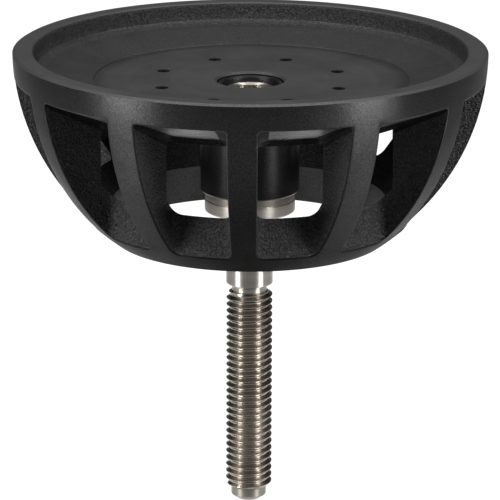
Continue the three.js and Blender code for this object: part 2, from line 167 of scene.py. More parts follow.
@dataclass(frozen=True)
class SandCastAluminium(Finish):
    """Aluminium cast in sand and dyed black: grain of the sand, small pits, uneven dye, and painted glints.

    A span holds the two values of a pattern between which it takes effect.
    """

    light_colour: str
    dark_colour: str
    specular: float
    depth_mm: float
    sparkle: float = 0.4
    grain_mm: float = 0.5
    grain_detail: float = 3.0
    grain_roughness: float = 0.62
    pit_mm: float = 1.0
    pit_span: Pair = (0.05, 0.34)
    pit_weight: float = 0.2
    patch_mm: float = 9.0
    patch_span: Pair = (0.3, 0.7)
    patch_weight: float = 0.35
    patch_gloss: Pair = (-0.08, 0.12)
    speckle_span: Pair = (0.36, 0.68)
    sparkle_span: Pair = (0.34, 0.7)
    # Painted glints, pale points that stand for highlights: how far apart they lie, how big, where they show
    # and their colour
    glint_mm: float = 1.1
    glint_span: Pair = (0.12, 0.06)
    glint_patches: Pair = (0.55, 0.75)
    glint_colour: str = "#8c8c8c"

    def dye(self, tree: Tree, at: Socket, grain: Socket,
            patches: Socket) -> Socket:
        """Colour the skin: paler on its grains, with painted glints, pale points that stand for highlights on
        scattered sharp grains.

        Args:
            tree: The material's nodes.
            at: Coordinates in metres.
            grain: Height of the sand's grain.
            patches: How well the dye took, patch by patch.

        Returns:
            The colour.
        """
        speckle = add_node(tree, "MapRange", {SPAN: self.speckle_span}, {"Value": grain})
        shade = add_node(tree, "Math", {"operation": "MULTIPLY_ADD", 1: self.patch_weight},
                         {0: patches, 2: speckle.outputs["Result"]})
        dyed = add_node(tree, "Mix", {
            "data_type": "RGBA", FIRST: linear(self.dark_colour), SECOND: linear(self.light_colour)},
            {FACTOR: shade.outputs["Value"]})
        # Painted glints: pale points put into the colour as highlights on scattered sharp grains
        peaks = add_node(tree, "TexVoronoi", {"Scale": per_metre(self.glint_mm)}, {"Vector": at})
        spark = add_node(tree, "MapRange", {SPAN: self.glint_span},
                         {"Value": peaks.outputs["Distance"]})
        chance = add_node(tree, "MapRange", {SPAN: self.glint_patches}, {"Value": patches})
        painted_glints = add_node(tree, "Math", {"operation": "MULTIPLY"},
                        {0: spark.outputs["Result"], 1: chance.outputs["Result"]})
        skin = add_node(tree, "Mix", {"data_type": "RGBA", SECOND: linear(self.glint_colour)},
                        {FACTOR: painted_glints.outputs["Value"], FIRST: dyed.outputs[MIXED]})
        return skin.outputs[MIXED]

    def build(self) -> bpy.types.Material:
        """Build the rough, speckled surface.

        Returns:
            The material.
        """
        material, tree, shader, at = self.start()
        # Sand grain: what breaks every highlight into a sparkle of small points
        grain = add_node(tree, "TexNoise", {
            "Scale": per_metre(self.grain_mm), "Detail": self.grain_detail,
            "Roughness": self.grain_roughness}, {"Vector": at}).outputs["Fac"]
        patches = add_node(tree, "TexNoise", {"Scale": per_metre(self.patch_mm)},
                           {"Vector": at}).outputs["Fac"]
        pits = add_node(tree, "TexVoronoi", {"Scale": per_metre(self.pit_mm)}, {"Vector": at})
        pit_edge = add_node(tree, "MapRange", {SPAN: self.pit_span},
                            {"Value": pits.outputs["Distance"]})
        height = add_node(tree, "Math", {"operation": "MULTIPLY_ADD", 1: self.pit_weight},
                          {0: pit_edge.outputs["Result"], 2: grain})
        bump = add_node(tree, "Bump", {"Strength": 1.0, "Distance": self.depth_mm * MM},
                        {"Height": height.outputs["Value"]})
        gloss_ends = [self.roughness + change for change in self.patch_gloss]
        dull = add_node(tree, "MapRange", {SPAN: (*self.patch_span, *gloss_ends)},
                        {"Value": patches})
        shine_ends = [self.specular * (1 + change) for change in (-self.sparkle, self.sparkle)]
        shine = add_node(tree, "MapRange", {SPAN: (*self.sparkle_span, *shine_ends)},
                         {"Value": grain})
        tree.links.new(self.dye(tree, at, grain, patches), shader.inputs["Base Color"])
        tree.links.new(bump.outputs["Normal"], shader.inputs["Normal"])
        tree.links.new(dull.outputs["Result"], shader.inputs["Roughness"])
        tree.links.new(shine.outputs["Result"], shader.inputs["Specular IOR Level"])
        return material


@dataclass(frozen=True)
class Mark:
    """A soft ring on a turned face, paler than the rest or, with a swing below zero, darker."""

    middle_mm: float
    swing: float
    reach_mm: float


@dataclass(frozen=True)
class TurnedMetal(Finish):
    """Metal cut on a lathe: fine rings along the tool's path, and faint cloudy wear.

    The rings are drawn coarser than real feed marks, which are finer than a pixel. A span holds the two
    values of a pattern between which it takes effect.
    """

    rings: Rings = Rings.ROUND_A_SIDE
    ring_mm: float = 0.18
    broad_rings: float = 9.0
    fine_weight: float = 0.6
    depth_mm: float = 0.006
    bump_strength: float = 0.8
    shade_span: Pair = (0.9, 1.7)
    shade_swing: float = 0.12
    cloud_mm: float = 12.0
    cloud_detail: float = 3.0
    cloud_roughness: float = 0.55
    cloud_span: Pair = (0.3, 0.7)
    gloss_swing: float = 0.07
    marks: tuple[Mark, ...] = ()
    specular: float = 0.5
    tooth_mm: float = 0.3
    tooth_roughness: float = 0.6
    tooth_share: float = 0.0
    tooth_span: Pair = (0.3, 0.7)
    glitter: float = 0.0
    dull_from_mm: float = -13.0
    dull_to_mm: float = -36.0
    dull_share: float = 1.0
    dull_extra: float = 0.0
    grain: float = 0.0
    grain_turn: float = 0.25

    def travel(self, tree: Tree, parts: bpy.types.Node) -> Socket:
        """Find how far the tool had travelled: in or out on a face, up or down on a side.

        Args:
            tree: The material's nodes.
            parts: The coordinates, separated.

        Returns:
            The distance in metres.
        """
        if self.rings is Rings.ROUND_A_SIDE:
            return parts.outputs["Z"]
        flat = add_node(tree, "CombineXYZ", links={axis: parts.outputs[axis] for axis in ("X", "Y")})
        radius = add_node(tree, "VectorMath", {"operation": "LENGTH"}, {0: flat.outputs["Vector"]})
        return radius.outputs["Value"]

    def shade(self, tree: Tree, travel: Socket, rings: Socket,
              cloud: Socket) -> Socket:
        """Shade the colour by the rings, the wear and the marks.

        Args:
            tree: The material's nodes.
            travel: How far the tool had travelled, in metres.
            rings: The rings' height.
            cloud: How worn the metal is, patch by patch.

        Returns:
            The factor on the colour.
        """
        both = add_node(tree, "Math", {"operation": "ADD"}, {0: rings, 1: cloud})
        ends = (1 - self.shade_swing, 1 + self.shade_swing)
        level = add_node(tree, "MapRange", {SPAN: (*self.shade_span, *ends)},
                         {"Value": both.outputs["Value"]})
        value = level.outputs["Result"]
        for mark in self.marks:
            off = add_node(tree, "Math", {"operation": "SUBTRACT", 1: mark.middle_mm * MM}, {0: travel})
            gap = add_node(tree, "Math", {"operation": "ABSOLUTE"}, {0: off.outputs["Value"]})
            near = add_node(tree, "MapRange", {
                "interpolation_type": "SMOOTHSTEP", SPAN: (0.0, mark.reach_mm * MM, 1.0, 0.0)},
                {"Value": gap.outputs["Value"]})
            marked = add_node(tree, "Math", {"operation": "MULTIPLY_ADD", 1: mark.swing},
                              {0: near.outputs["Result"], 2: value})
            value = marked.outputs["Value"]
        return value

    def settle_dye(self, tree: Tree, shader: bpy.types.Node, height: Socket,
                   tooth: Socket, gloss: Socket) -> None:
        """Let the dye's tooth glitter, and the dye take the gloss where it settled thicker, down the mouth.

        Args:
            tree: The material's nodes.
            shader: The surface shader.
            height: Height on the object, in metres.
            tooth: Height of the dye's tooth.
            gloss: The roughness without the dye.
        """
        low_to_high = (self.dull_to_mm * MM, self.dull_from_mm * MM)
        ends = [self.specular * (1 + change) for change in (-self.glitter, self.glitter)]
        glint = add_node(tree, "MapRange", {SPAN: (*self.tooth_span, *ends)}, {"Value": tooth})
        fade = add_node(tree, "MapRange", {SPAN: (*low_to_high, self.dull_share, 1.0)},
                        {"Value": height})
        shine = add_node(tree, "Math", {"operation": "MULTIPLY"},
                         {0: glint.outputs["Result"], 1: fade.outputs["Result"]})
        blunt = add_node(tree, "MapRange", {SPAN: (*low_to_high, self.dull_extra, 0.0)},
                         {"Value": height})
        matt = add_node(tree, "Math", {"operation": "ADD"}, {0: gloss, 1: blunt.outputs["Result"]})
        tree.links.new(shine.outputs["Value"], shader.inputs["Specular IOR Level"])
        tree.links.new(matt.outputs["Value"], shader.inputs["Roughness"])

    def build(self) -> bpy.types.Material:
        """Build the ringed surface.

        Returns:
            The material.
        """
        material, tree, shader, at = self.start()
        parts = add_node(tree, "SeparateXYZ", links={"Vector": at})
        travel = self.travel(tree, parts)
        # Tool rings: they draw each highlight out across the rings
        fine = add_node(tree, "TexNoise", {
            "noise_dimensions": "1D", "Scale": per_metre(self.ring_mm), "Detail": 2.0}, {"W": travel})
        broad = add_node(tree, "TexNoise", {
            "noise_dimensions": "1D", "Scale": per_metre(self.ring_mm * self.broad_rings), "Detail": 1.0},
            {"W": travel})
        rings = add_node(tree, "Math", {"operation": "MULTIPLY_ADD", 1: self.fine_weight},
                         {0: fine.outputs["Fac"], 2: broad.outputs["Fac"]}).outputs["Value"]
        cloud = add_node(tree, "TexNoise", {
            "Scale": per_metre(self.cloud_mm), "Detail": self.cloud_detail,
            "Roughness": self.cloud_roughness}, {"Vector": at}).outputs["Fac"]
        # The dye's tooth: small uneven grains that make each highlight glitter. They are set coarser than
        # the real ones, which are finer than a pixel
        tooth = add_node(tree, "TexNoise", {
            "Scale": per_metre(self.tooth_mm), "Roughness": self.tooth_roughness},
            {"Vector": at}).outputs["Fac"]
        relief = add_node(tree, "Math", {"operation": "MULTIPLY_ADD", 1: self.tooth_share},
                          {0: tooth, 2: rings})
        bump = add_node(tree, "Bump", {"Strength": self.bump_strength, "Distance": self.depth_mm * MM},
                        {"Height": relief.outputs["Value"]})
        tint = add_node(tree, "VectorMath", {"operation": "SCALE", 0: linear(self.colour)[:3]},
                        {"Scale": self.shade(tree, travel, rings, cloud)})
        ends = (self.roughness - self.gloss_swing, self.roughness + self.gloss_swing)
        gloss = add_node(tree, "MapRange", {SPAN: (*self.cloud_span, *ends)},
                         {"Value": cloud}).outputs["Result"]
        tree.links.new(tint.outputs["Vector"], shader.inputs["Base Color"])
        tree.links.new(bump.outputs["Normal"], shader.inputs["Normal"])
        tree.links.new(gloss, shader.inputs["Roughness"])
        shader.inputs["Specular IOR Level"].default_value = self.specular
        if self.glitter:
            self.settle_dye(tree, shader, parts.outputs["Z"], tooth, gloss)
        if self.grain:
            round_axis = add_node(tree, "Tangent", {"direction_type": "RADIAL", "axis": "Z"})
            tree.links.new(round_axis.outputs["Tangent"], shader.inputs["Tangent"])
            shader.inputs["Anisotropic"].default_value = self.grain
            shader.inputs["Anisotropic Rotation"].default_value = self.grain_turn
        return material


# Black anodised aluminium, turned on the outside of the ball: satin, its highlights drawn out up and down
TURNED_BALL = TurnedMetal("black_anodised_aluminium_turned", "#070708", 0.32, 0.0, specular=0.54, grain=0.88,
                          shade_swing=0.25, ring_mm=0.4, depth_mm=0.02, tooth_share=1.4,
                          glitter=0.42, dull_share=0.26, dull_extra=0.18)
# The same metal faced on the rim and seat, where the cut shows greyer. Two faint pale rings lie on the seat,
# which is darker than the rim, and a dark ring of painted shade lies along its outer edge, by the step down
# from the dish's floor
FACED_RIM = TurnedMetal("black_anodised_aluminium_faced", "#272728", 0.42, 0.0, rings=Rings.ON_A_FACE,
                        marks=(Mark(16.2, 0.14, 1.0), Mark(26.2, 0.14, 1.0), Mark(24.0, -0.1, 13.0),
                               # The last mark is painted shade along the seat's outer edge
                               Mark(33.0, -0.75, 3.4)),
                        ring_mm=0.6, depth_mm=0.03, tooth_share=1.0, glitter=0.4)
# The casting's skin, left rough and dyed black: matt, with grains that catch the light
CAST_SKIN = SandCastAluminium("black_anodised_aluminium_sand_cast", "#1c1c1d", 0.46, 0.0,
                              light_colour="#202020", dark_colour="#080808", specular=0.32, depth_mm=0.55)
# The dish's wall: the same skin, finer, and darker as painted shade, where the overhead light passes it by
DISH_WALL = SandCastAluminium("black_anodised_aluminium_sand_cast_wall", "#141414", 0.55, 0.0, grain_mm=0.45,
                              light_colour="#1b1b1b", dark_colour="#080808", specular=0.25, depth_mm=0.4,
                              sparkle=0.45)
# The round at the wall's foot: glossier than the floor, and paler as a painted highlight where the round
# faces the light
DISH_FOOT = SandCastAluminium("black_anodised_aluminium_sand_cast_painted_highlight", "#1f1f1f", 0.46, 0.0, grain_mm=0.4,
                              light_colour="#262626", dark_colour="#141414", specular=0.34, depth_mm=0.2,
                              sparkle=0.35)
# The windows' upper corners, out of every light's way: the skin at its darkest, as painted shade
CORNER_SKIN = SandCastAluminium("black_anodised_aluminium_sand_cast_painted_shade", "#0a0a0a", 0.6, 0.0,
                                light_colour="#0d0d0d", dark_colour="#030303", specular=0.12, depth_mm=0.4)
# The dish's floor, where the mould was smoothest: the same skin with a finer and shallower grain
DISH_SKIN = SandCastAluminium("black_anodised_aluminium_sand_cast_fine", "#1c1c1d", 0.5, 0.0, grain_mm=0.3,
                              light_colour="#1f1f1f", dark_colour="#121212", specular=0.3, depth_mm=0.14,
                              sparkle=0.2)
# The same skin fettled smoother at the windows' tops, so that it mirrors the floor at a low angle, with paler
# grains as a painted reflection of the bright floor
FETTLED_TOP_PAINTED_REFLECTION = SandCastAluminium("black_anodised_aluminium_fettled_painted_reflection", "#1c1c1d", 0.34, 0.0,
                                light_colour="#3a3837", dark_colour="#0a0a0a", specular=1.0, depth_mm=0.3)
# The mouth, bored out after casting: a little paler, with coarse level rings
BORED_MOUTH = TurnedMetal("black_anodised_aluminium_bored", "#181716", 0.38, 0.0, ring_mm=0.35,
                          depth_mm=0.012, glitter=0.5, dull_share=0.8)
# Tapped holes and the centre bore's wall: nearly black, as painted shade inside them
TAPPED_HOLE = TurnedMetal("black_anodised_aluminium_tapped_painted_shade", "#030303", 0.7, 0.0, specular=0.15)
# Steel turned and chemically blackened: nearly black, with a clean satin gloss
BLACK_HUB = TurnedMetal("blackened_steel_turned", "#0c0c0d", 0.33, 0.0, ring_mm=0.3, specular=0.34, grain=0.5,
                        glitter=0.4)
# Bare steel ground on its faces and edge: grey and even
GROUND_STEEL = TurnedMetal("steel_ground", "#b5ada3", 0.36, 1.0, ring_mm=0.12, grain=0.5)
# Bare steel as it leaves the lathe: warm, with rings that stretch its highlights along the axis
TURNED_STEEL = TurnedMetal("steel_turned", "#c4beb6", 0.34, 1.0, ring_mm=0.22, depth_mm=0.012, grain=0.97)
# The collar's steel, turned with a coarser feed: more diffuse, and paler as painted light where it sits up
# inside the ball
COLLAR_STEEL = TurnedMetal("steel_turned_coarse_painted_light", "#cfc9c1", 0.4, 1.0, ring_mm=0.3, depth_mm=0.02, grain=0.8)
# The stud's steel, with a cut thread: bright flanks, slightly oiled
STUD_STEEL = TurnedMetal("steel_cut_thread", "#a7a096", 0.23, 1.0, ring_mm=0.15, grain=0.4)
# The stud's dog point: the same steel, duller, and darker as painted shade on the tip
DOG_STEEL = TurnedMetal("steel_turned_painted_shade", "#88837b", 0.3, 1.0, ring_mm=0.2, depth_mm=0.012, grain=0.8)


class Dressing:
    """Keeps one Blender material for each finish."""

    made: dict[str, bpy.types.Material] = {}

    @classmethod
    def material(cls, finish: Finish) -> bpy.types.Material:
        """Find a finish's material, building it the first time.

        Args:
            finish: The finish.

        Returns:
            Its material.
        """
        if finish.name not in cls.made:
            cls.made[finish.name] = finish.build()
        return cls.made[finish.name]


class MeshDraft:
    """Points in millimetres about the ball's axis, and the faces drawn on them."""

    WELD_MM = 0.002
    SPECK_MM = 0.0005
    SHARP_DEG = 33

    def __init__(self, finishes: Sequence[Finish]) -> None:
        """Start an empty draft.

        Args:
            finishes: The finishes that the faces can take.
        """
        self.finishes = list(finishes)
        self.points: list[tuple[float, float, float]] = []
        self.faces: list[tuple[tuple[int, ...], int]] = []
        self.fills: list[tuple[list[list[int]], int]] = []

    def put(self, x: float, y: float, z: float) -> int:
        """Add a point in millimetres and return its number."""
        self.points.append((x, y, z))
        return len(self.points) - 1

    def around(self, radius: float, azimuth: float, z: float) -> int:
        """Add a point by its radius, its azimuth from the front and its height."""
        return self.put(radius * math.sin(azimuth), -radius * math.cos(azimuth), z)

    def face(self, corners: Sequence[int], finish: Finish) -> None:
        """Draw one face between numbered points, in a finish."""
        self.faces.append((tuple(corners), self.finishes.index(finish)))

    def ring(self, radius: float, z: float, azimuths: Sequence[float]) -> list[int]:
        """Add a closed ring of points at a radius and a height, and return their numbers."""
        return [self.around(radius, azimuth, z) for azimuth in azimuths]

    def join(self, rings: Sequence[Sequence[int]], finish: Finish) -> None:
        """Draw a strip of faces from each closed ring to the next.

        Args:
            rings: The rings, each with as many points.
            finish: What the strips are finished in.
        """
        for low, high in zip(rings, rings[1:]):
            for at in range(len(low)):
                beside = (at + 1) % len(low)
                self.face((low[at], low[beside], high[beside], high[at]), finish)

    def turn(self, profile: Profile, azimuths: Sequence[float], finish: Finish,
             first: Optional[list[int]] = None, closed: bool = False) -> list[int]:
        """Turn a profile about the axis.

        Args:
            profile: Radius and height of each ring.
            azimuths: Where the points of each ring stand.
            finish: What the surface is finished in.
            first: A ring that the surface starts from, if it is there already.
            closed: Whether the surface comes back to its first ring.

        Returns:
            The last ring.
        """
        rings = [] if first is None else [first]
        rings += [self.ring(radius, z, azimuths) for radius, z in profile]
        if closed:
            rings.append(rings[0])
        self.join(rings, finish)
        return rings[-1]

    def cap(self, ring: Sequence[int], z: float, finish: Finish) -> None:
        """Close a ring with a fan to a point on the axis.

        Args:
            ring: The ring.
            z: The point's height.
            finish: What the fan is finished in.
        """
        centre = self.put(0, 0, z)
        for at, number in enumerate(ring):
            self.face((number, ring[(at + 1) % len(ring)], centre), finish)

    def fill(self, loops: list[list[int]], finish: Finish) -> None:
        """Fill a flat face that is bounded by loops of points, holes among them."""
        self.fills.append((loops, self.finishes.index(finish)))

    def draw_fills(self, sheet: bmesh.types.BMesh, corners: Sequence[bmesh.types.BMVert]) -> None:
        """Draw the flat faces between their loops.

        Args:
            sheet: The mesh that takes them.
            corners: Its points, by number.
        """
        for loops, index in self.fills:
            edges = []
            for loop in loops:
                for at, number in enumerate(loop):
                    pair = (corners[number], corners[loop[(at + 1) % len(loop)]])
                    edges.append(sheet.edges.get(pair) or sheet.edges.new(pair))
            made = bmesh.ops.triangle_fill(sheet, use_beauty=True, use_dissolve=False, edges=edges)
            for part in made["geom"]:
                if isinstance(part, bmesh.types.BMFace):
                    part.material_index = index

    def build(self, name: str, body: Body, replaced: str, slot: str) -> bpy.types.Object:
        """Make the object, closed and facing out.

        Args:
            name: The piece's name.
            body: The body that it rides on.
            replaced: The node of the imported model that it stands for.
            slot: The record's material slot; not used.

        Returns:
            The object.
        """
        sheet = bmesh.new()
        corners = [sheet.verts.new((x * MM, y * MM, z * MM)) for x, y, z in self.points]
        for numbers, index in self.faces:
            sheet.faces.new([corners[number] for number in numbers]).material_index = index
        self.draw_fills(sheet, corners)
        bmesh.ops.remove_doubles(sheet, verts=sheet.verts, dist=self.WELD_MM * MM)
        bmesh.ops.dissolve_degenerate(sheet, edges=sheet.edges, dist=self.SPECK_MM * MM)
        bmesh.ops.recalc_face_normals(sheet, faces=sheet.faces)
        open_edges = 0
        for edge in sheet.edges:
            if len(edge.link_faces) != 2:
                open_edges += 1
            elif edge.calc_face_angle(0) > math.radians(self.SHARP_DEG):
                edge.smooth = False
        for face in sheet.faces:
            face.smooth = True
        mesh = bpy.data.meshes.new(name)
        sheet.to_mesh(mesh)
        sheet.free()
        for finish in self.finishes:
            mesh.materials.append(Dressing.material(finish))
        piece = bpy.data.objects.new(name, mesh)
        bpy.context.scene.collection.objects.link(piece)
        piece.modifiers.new("even_shading", "WEIGHTED_NORMAL").keep_sharp = True
        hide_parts(replaced)
        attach(piece, body.value)
        LOG.info("%s: %d faces, %d open edges, rides on %s", name, len(mesh.polygons), open_edges, body.value)
        return piece


def even_azimuths(count: int) -> list[float]:
    """Azimuths that divide a full turn evenly."""
    return [TURN * at / count for at in range(count)]


def toward(corner: Pair, target: Pair, reach: float) -> Pair:
    """The point this reach from a corner towards a target, but at most half way."""
    share = min(reach / math.dist(corner, target), 0.5)
    return blend_to(corner[0], target[0], share), blend_to(corner[1], target[1], share)


def rounded(corner: Pair, before: Pair, after: Pair, reach: float, steps: int = 3) -> Profile:
    """Round a corner of a profile.

    Args:
        corner: The sharp corner.
        before: A point that the profile comes from.
        after: A point that it goes to.
        reach: How far from the corner the round starts and ends.
        steps: How many faces it has.

    Returns:
        The points that take the corner's place.
    """
    guides = (toward(corner, before, reach), corner, toward(corner, after, reach))
    curve = []
    for step in range(steps + 1):
        t = step / steps
        weights = ((1 - t) ** 2, 2 * t * (1 - t), t * t)
        radius, z = (sum(weight * guide[axis] for weight, guide in zip(weights, guides)) for axis in (0, 1))
        curve.append((radius, z))
    return curve


def softened(profile: Profile, reach: float, closed: bool = False) -> Profile:
    """Round every corner of a profile by the same small reach.

    Args:
        profile: The sharp profile.
        reach: How far each round reaches.
        closed: Whether the last point joins the first.

    Returns:
        The rounded profile.
    """
    result: Profile = []
    count = len(profile)
    for at, corner in enumerate(profile):
        if not closed and at in (0, count - 1):
            result.append(corner)
            continue
        result += rounded(corner, profile[at - 1], profile[(at + 1) % count], reach)
    return result


@dataclass
class WindowNode:
    """One station round a window, as four places on the line that runs in through its wall.

    The skin and core places lie on the edges of the window's own patch, outside and inside. The outer and
    inner places lie on the window's edges. The roof share says how far the station is part of the ceiling.
    """

    outer: Polar
    inner: Polar
    skin: Polar
    core: Polar
    roof: float = 0.0

    def mirrored(self) -> "WindowNode":
        """The same station on the window's other side."""
        places = (self.outer, self.inner, self.skin, self.core)
        return WindowNode(*((radius, -azimuth, z) for radius, azimuth, z in places), self.roof)


@dataclass
class BallCasting:
    """The ribbed half ball: one casting, turned outside, faced on top and bored below. Sizes in mm.

    A wave of the seat's edge is its swing, how many of it go round the seat, and where it starts. A step at
    the seat's edge is how far out from the edge it lies, and how far up from the dish's floor or the seat.
    """

    radius: float = 50.0
    rim_z: float = -0.25
    rim_outer: float = 49.3
    rim_inner: float = 46.0
    rim_foot_z: float = -0.65
    rim_break: float = 0.12
    lip_break: float = 0.3
    wall_top: float = 45.5
    wall_top_z: float = -0.75
    wall_foot: float = 45.1
    dish_fillet: float = 2.0
    dish_fillet_steps: int = 8
    dark_fillet_rings: int = 4
    floor_start: float = 43.9
    floor_start_z: float = -4.65
    floor_end_z: float = -6.65
    floor_ring_shares: tuple[float, ...] = (0.2, 0.4, 0.6, 0.8, 0.97)
    seat: float = 33.2
    seat_z: float = -6.9
    seat_shift: float = 0.25
    seat_waves: tuple[tuple[float, int, float], ...] = ((0.05, 3, 0.6), (0.04, 7, 0.0))
    seat_top_steps: tuple[Pair, ...] = ((0.06, -0.02), (0.0, -0.08))
    seat_foot_steps: tuple[Pair, ...] = ((-0.03, 0.05), (-0.09, 0.0))
    bore: float = 7.1
    bore_chamfer: float = 0.45
    bore_columns: int = 96
    plate_z: float = -11.8
    hole_count: int = 8
    hole_circle: float = 20.0
    hole: float = 1.25
    hole_sink: float = 0.15
    hole_phase_deg: float = 22.5
    hole_columns: int = 24
    cavity: float = 36.4
    roof_inset: float = 0.8
    cone_top_z: float = -24.5
    cone_height: float = 8.32
    mouth: float = 29.0
    mouth_z: float = -40.6
    mouth_bevel: float = 0.5
    mouth_land: float = 0.1
    mouth_ring_share: float = 0.4
    ribs: int = 12
    rib_phase_deg: float = -1.87
    rib_width: float = 5.2
    rib_width_at: float = 34.7
    rib_draft: float = 0.071
    window_top_z: float = -5.74
    window_bottom_z: float = -36.84
    sill_draft: float = 0.0724
    top_fillet: float = 1.3
    outer_fillet: float = 0.8
    lip_rise: float = 1.15
    lip_share: float = 0.92
    lip_drop: float = 0.45
    corner_rise: float = 0.55
    corner_rise_least: float = 0.02
    sill_fillet: float = 1.7
    outer_edge: float = 0.28
    inner_edge: float = 0.22
    edge_slant_least: float = 0.35
    edge_share_most: float = 0.45
    edge_steps: int = 3
    top_steps: int = 6
    fillet_steps: int = 6
    wall_steps: int = 12
    cone_steps: int = 4
    sill_steps: int = 5
    skin_steps: int = 5
    tube_steps: int = 6
    core_steps: int = 3
    settle_rounds: int = 12

    @property
    def side(self) -> float:
        """Angle from a window's middle to the middle of the rib beside it."""
        return math.pi / self.ribs

    @property
    def half_fillet(self) -> int:
        """Stations on half of a window's corner."""
        return self.fillet_steps // 2

    @property
    def roof_radius(self) -> float:
        """Radius of the ring inside which the plate's underside is flat."""
        return self.cavity - self.roof_inset

    def on_ball(self, z: float) -> float:
        """Radius of the ball at a height."""
        return math.sqrt(self.radius ** 2 - z * z)

    def under_ball(self, radius: float) -> float:
        """Height of the ball's lower surface at a radius."""
        return -math.sqrt(self.radius ** 2 - radius * radius)

    def half_window(self, radius: float) -> float:
        """Half the angle between two ribs' faces, at a radius."""
        width = self.rib_width + self.rib_draft * (radius - self.rib_width_at)
        return self.side - math.asin(width / 2 / radius)

    def ceiling(self, radius: float) -> float:
        """Height of a window's sloping ceiling at a radius.

        Args:
            radius: The radius.

        Returns:
            The height.
        """
        top = self.on_ball(self.window_top_z)
        slope = (self.window_top_z - self.plate_z) / (top - self.cavity)
        return self.window_top_z - slope * (top - radius)

    def cone(self, radius: float) -> float:
        """Height of the cone that leads down to the mouth, at a radius."""
        return self.cone_top_z - (self.cavity - radius) * self.cone_height / (self.cavity - self.mouth)

    def sill(self, z: float) -> float:
        """Radius of the sill's wall at a height."""
        return self.on_ball(self.window_bottom_z) - self.sill_draft * (z - self.window_bottom_z)

    def settle(self, height: Callable[[float], float], reach: Callable[[float], float]) -> Pair:
        """Find the radius and height where a wall meets a surface.

        Args:
            height: The surface's height at a radius.
            reach: The wall's radius at a height.

        Returns:
            Radius and height of the meeting point.
        """
        radius = self.sill(self.window_bottom_z)
        for _ in range(self.settle_rounds):
            radius = reach(height(radius))
        return radius, height(radius)

    def corner_end(self, drop: float) -> Pair:
        """Radius and height where the ball meets a window's ceiling, lowered by a drop."""
        return self.settle(lambda radius: self.ceiling(radius) - drop, self.on_ball)

    def sill_end(self, surface: Callable[[float], float], stand: float) -> Pair:
        """Radius and height where the sill's wall, set out by a stand, meets a surface."""
        return self.settle(surface, lambda z: self.sill(z) + stand)

    def on_rim(self, azimuth: float) -> Polar:
        """Place on the ring where the ball ends below the rim, at an azimuth."""
        return self.on_ball(self.rim_foot_z), azimuth, self.rim_foot_z

    def on_rib(self, z: float) -> Polar:
        """Place on the ball at the middle of a rib, at a height."""
        return self.on_ball(z), self.side, z

    def on_cone(self, steps_down: int) -> Polar:
        """Place inside at the middle of a rib, some steps down the cone."""
        radius = blend_to(self.cavity, self.mouth, steps_down / (self.cone_steps + self.half_fillet))
        return radius, self.side, self.cone(radius)

    def top_nodes(self) -> list[WindowNode]:
        """Set the stations along a window's top edge, from its middle to its right corner.

        Returns:
            The stations.
        """
        nodes = []
        top = self.on_ball(self.window_top_z)
        for at in range(self.top_steps + 1):
            share = at / self.top_steps
            azimuth = self.side * at / (self.top_steps + self.half_fillet)
            outer_azimuth = share * (self.half_window(top) - self.outer_fillet / top)
            inner_azimuth = share * (self.half_window(self.cavity) - self.top_fillet / self.cavity)
            nodes.append(WindowNode((top, outer_azimuth, self.window_top_z),
                                    (self.cavity, inner_azimuth, self.plate_z - self.lip_drop),
                                    self.on_rim(azimuth), (self.roof_radius, azimuth, self.plate_z),
                                    1.0 if at < self.top_steps else self.corner_rise))
        return nodes

    def corner_nodes(self) -> list[WindowNode]:
        """Set the stations round a window's upper right corner.

        Returns:
            The stations.
        """
        nodes = []
        tight = self.outer_fillet / self.top_fillet
        corner_z = self.corner_end(self.outer_fillet)[1]
        for at in range(1, self.fillet_steps + 1):
            angle = math.pi / 2 * at / self.fillet_steps
            inset = self.top_fillet * (1 - math.sin(angle))
            depth = self.top_fillet * (1 - math.cos(angle))
            radius, z = self.corner_end(depth * tight)
            outer = (radius, self.half_window(radius) - inset * tight / radius, z)
            inner = (self.cavity, self.half_window(self.cavity) - inset / self.cavity,
                     self.plate_z - max(depth, self.lip_drop))
            if at <= self.half_fillet:
                azimuth = self.side * (self.top_steps + at) / (self.top_steps + self.half_fillet)
                skin, core = self.on_rim(azimuth), (self.roof_radius, azimuth, self.plate_z)
            else:
                share = (at - self.half_fillet) / (self.fillet_steps - self.half_fillet)
                skin = self.on_rib(blend_to(self.rim_foot_z, corner_z, share))
                core = (self.cavity, self.side, blend_to(self.plate_z, self.plate_z - self.top_fillet, share))
            nodes.append(WindowNode(outer, inner, skin, core, self.corner_rise * math.cos(angle) ** 2))
        return nodes

    def wall_nodes(self) -> list[WindowNode]:
        """Set the stations down the rib's wall, from the upper corner to the sill's round.

        Returns:
            The stations.
        """
        nodes = []
        count = self.wall_steps + self.cone_steps
        ends_z = (self.corner_end(self.outer_fillet)[1], self.sill_end(self.under_ball, self.sill_fillet)[1])
        start_tilt, foot_tilt = (math.asin(z / self.radius) for z in ends_z)
        foot_radius = self.sill_end(self.cone, self.sill_fillet)[0]
        for at in range(1, count + 1):
            skin = self.on_rib(self.radius * math.sin(blend_to(start_tilt, foot_tilt, at / count)))
            if at <= self.wall_steps:
                radius = self.cavity
                level = blend_to(self.plate_z - self.top_fillet, self.cone_top_z, at / self.wall_steps)
                core = (self.cavity, self.side, level)
            else:
                down = at - self.wall_steps
                radius = blend_to(self.cavity, foot_radius, down / self.cone_steps)
                level = self.cone(radius)
                core = self.on_cone(down)
            nodes.append(WindowNode((skin[0], self.half_window(skin[0]), skin[2]),
                                    (radius, self.half_window(radius), level), skin, core))
        return nodes

